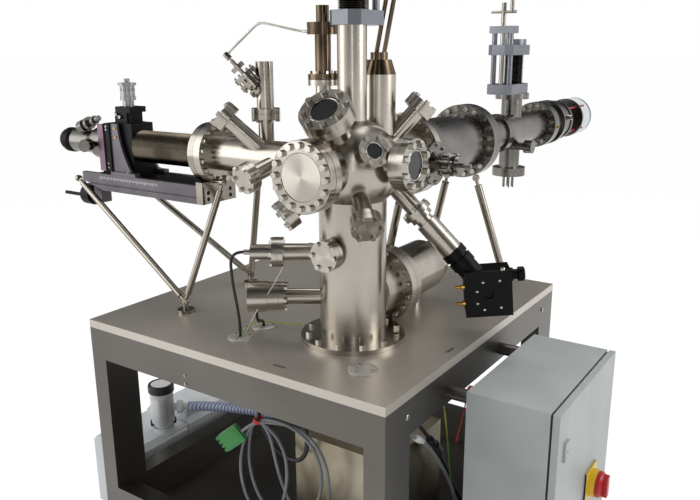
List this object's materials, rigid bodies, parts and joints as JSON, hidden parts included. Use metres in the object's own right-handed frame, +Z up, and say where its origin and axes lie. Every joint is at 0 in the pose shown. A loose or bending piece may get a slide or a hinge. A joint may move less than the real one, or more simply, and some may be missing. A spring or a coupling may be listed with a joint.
{
  "type": "photoemission electron microscope",
  "caption": "Electron microscope: steel vacuum chamber with ports, transfer arm on a rail, electron lens, lift stages and lamp, on a welded table with a control cabinet.",
  "frame": {"origin": "on the floor, at the middle of the table's footprint", "axes": "+Z up, +X along the table's front edge to the cabinet side, +Y back along the electron lens"},
  "size_m": [1.5763, 1.797, 1.6782],
  "materials": {
    "frame_steel": "brushed sheet steel",
    "top_steel": "brushed sheet steel",
    "shelf_steel": "brushed sheet steel",
    "feet_steel": "turned steel",
    "cabinet_paint": "fine-textured powder coat",
    "door_paint": "fine-textured powder coat",
    "lock_metal": "plated zinc",
    "switch_red": "moulded plastic",
    "chamber_steel": "satin stainless steel",
    "blank_steel": "face-turned stainless steel",
    "viewport_steel": "turned stainless steel",
    "viewport_glass": "polished glass",
    "large_bolt_steel": "silver-plated steel",
    "small_bolt_steel": "silver-plated steel",
    "bracket_steel": "milled steel",
    "rail_anodised": "anodised aluminium",
    "cover_black": "black anodised aluminium",
    "bellows_steel": "formed thin steel",
    "yoke_black": "black anodised aluminium",
    "gusset_anodised": "anodised aluminium",
    "swivel_anodised": "anodised aluminium",
    "micrometer_steel": "ground steel",
    "thimble_steel": "ground steel",
    "head_steel": "turned stainless steel",
    "feedthrough_steel": "satin stainless steel",
    "knob_black": "black anodised aluminium",
    "crank_black": "black anodised aluminium",
    "strut_steel": "polished steel",
    "valve_steel": "turned stainless steel",
    "knob_steel": "knurled steel",
    "pipe_steel": "drawn steel",
    "gauge_tube_steel": "satin stainless steel",
    "cylinder_steel": "satin stainless steel",
    "lens_steel": "satin stainless steel",
    "tee_steel": "satin stainless steel",
    "stage_grey": "bead-blasted aluminium",
    "carriage_grey": "bead-blasted aluminium",
    "stage_bellows_steel": "formed thin steel",
    "handle_steel": "turned steel",
    "top_stage_grey": "bead-blasted aluminium",
    "top_carriage_grey": "bead-blasted aluminium",
    "top_bellows_steel": "formed thin steel",
    "top_handle_steel": "turned steel",
    "detector_steel": "turned stainless steel",
    "detector_red": "red anodised aluminium",
    "end_disc_clear": "polished clear plastic",
    "source_steel": "satin stainless steel",
    "condenser_black": "black anodised aluminium",
    "lamp_black": "black anodised aluminium",
    "barb_brass": "turned brass",
    "gauge_steel": "satin stainless steel",
    "pump_steel": "turned steel",
    "cable_black_1": "smooth cable sheath",
    "cable_black_2": "smooth cable sheath",
    "earth_green": "striped wire sheath",
    "housing_steel": "brushed sheet steel",
    "pump_grey": "painted casting",
    "hose_clear": "reinforced clear hose",
    "coil_grey": "smooth cable sheath",
    "plug_green": "moulded plastic"
  },
  "bodies": {
    "stand": {"table_frame": "frame_steel", "table_top": "top_steel", "base_shelf": "shelf_steel", "levelling_feet": "feet_steel", "cabinet_body": "cabinet_paint", "chamber": "chamber_steel", "front_blank": "blank_steel", "viewport_flanges": "viewport_steel", "viewport_windows": "viewport_glass", "large_bolts": "large_bolt_steel", "small_bolts": "small_bolt_steel", "end_bracket": "bracket_steel", "translator_rail": "rail_anodised", "slide_cover": "cover_black", "transfer_bellows": "bellows_steel", "side_feedthrough": "feedthrough_steel", "support_struts": "strut_steel", "angle_valve": "valve_steel", "gas_line": "pipe_steel", "ion_gauge": "gauge_tube_steel", "loadlock_cylinder": "cylinder_steel", "lens_tube": "lens_steel", "detector_tee": "tee_steel", "stage_frame": "stage_grey", "stage_bellows": "stage_bellows_steel", "top_stage_frame": "top_stage_grey", "top_stage_bellows": "top_bellows_steel", "detector_head": "detector_steel", "detector_rods": "detector_red", "detector_end_disc": "end_disc_clear", "source_tube": "source_steel", "source_condenser": "condenser_black", "lamp_housing": "lamp_black", "hose_barbs": "barb_brass", "gauges": "gauge_steel", "rear_pump": "pump_steel", "gauge_cable_1": "cable_black_1", "gauge_cable_2": "cable_black_2", "earth_wire": "earth_green", "bay_housing": "housing_steel", "vacuum_pump": "pump_grey", "suction_hose": "hose_clear", "cable_coil": "coil_grey", "green_plug": "plug_green"},
    "carriage": {"carriage_yoke": "yoke_black", "carriage_gussets": "gusset_anodised", "swivel_plate": "swivel_anodised", "micrometer_body": "micrometer_steel", "rotary_head": "head_steel"},
    "thimble": {"micrometer_thimble": "thimble_steel"},
    "head_knob": {"rotary_knob": "knob_black"},
    "crank": {"crank_wheel": "crank_black"},
    "valve_knob": {"leak_valve_knob": "knob_steel"},
    "lift": {"stage_carriage": "carriage_grey"},
    "lift_screw": {"stage_handle": "handle_steel"},
    "top_lift": {"top_stage_carriage": "top_carriage_grey"},
    "top_lift_screw": {"top_stage_handle": "top_handle_steel"},
    "door": {"cabinet_door": "door_paint"},
    "lock": {"door_lock": "lock_metal"},
    "main_switch": {"switch_handle": "switch_red"}
  },
  "joints": [
    {"name": "carriage_slide", "type": "slide", "parent": "stand", "child": "carriage", "axis": [1, 0, 0], "range_m": [0, 0.15], "deforming": ["transfer_bellows"]},
    {"name": "crank_turn", "type": "hinge", "parent": "stand", "child": "crank", "pos_m": [-0.681, -0.212, 0.954], "axis": [-1, 0, 0], "range_deg": [0, 13500]},
    {"name": "thimble_turn", "type": "hinge", "parent": "carriage", "child": "thimble", "pos_m": [-0.549, -0.192, 1.264], "axis": [0, 0, 1], "continuous": true},
    {"name": "head_knob_turn", "type": "hinge", "parent": "carriage", "child": "head_knob", "pos_m": [-0.816, -0.192, 1.104], "axis": [-1, 0, 0], "continuous": true},
    {"name": "leak_knob_turn", "type": "hinge", "parent": "stand", "child": "valve_knob", "pos_m": [-0.13823, -0.19985, 1.31486], "axis": [-0.5344, -0.4027, 0.7431], "range_deg": [0, 1440]},
    {"name": "lift_slide", "type": "slide", "parent": "stand", "child": "lift", "axis": [0, 0, 1], "range_m": [-0.03, 0.03], "deforming": ["stage_bellows"]},
    {"name": "lift_screw_turn", "type": "hinge", "parent": "stand", "child": "lift_screw", "pos_m": [0.184, 0.618, 1.354], "axis": [0, 0, 1], "range_deg": [-5400, 5400]},
    {"name": "top_lift_slide", "type": "slide", "parent": "stand", "child": "top_lift", "axis": [0, 0, 1], "range_m": [-0.03, 0.03], "deforming": ["top_stage_bellows"]},
    {"name": "top_lift_screw_turn", "type": "hinge", "parent": "stand", "child": "top_lift_screw", "pos_m": [0.184, -0.138, 1.554], "axis": [0, 0, 1], "range_deg": [-5400, 5400]},
    {"name": "door_hinge", "type": "hinge", "parent": "stand", "child": "door", "pos_m": [0.678, 0.195, 0.395], "axis": [0, 0, 1], "range_deg": [0, 120]},
    {"name": "lock_turn", "type": "hinge", "parent": "door", "child": "lock", "pos_m": [0.695, -0.164, 0.548], "axis": [1, 0, 0], "range_deg": [0, 90]},
    {"name": "main_switch_turn", "type": "hinge", "parent": "door", "child": "main_switch", "pos_m": [0.72, 0.04, 0.37], "axis": [1, 0, 0], "range_deg": [0, 90]}
  ],
  "couplings": [
    {"joint": "crank_turn", "follows": "carriage_slide", "rad_per_m": 1570.8},
    {"joint": "lift_screw_turn", "follows": "lift_slide", "rad_per_m": 3141.6},
    {"joint": "top_lift_screw_turn", "follows": "top_lift_slide", "rad_per_m": 3141.6}
  ]
}
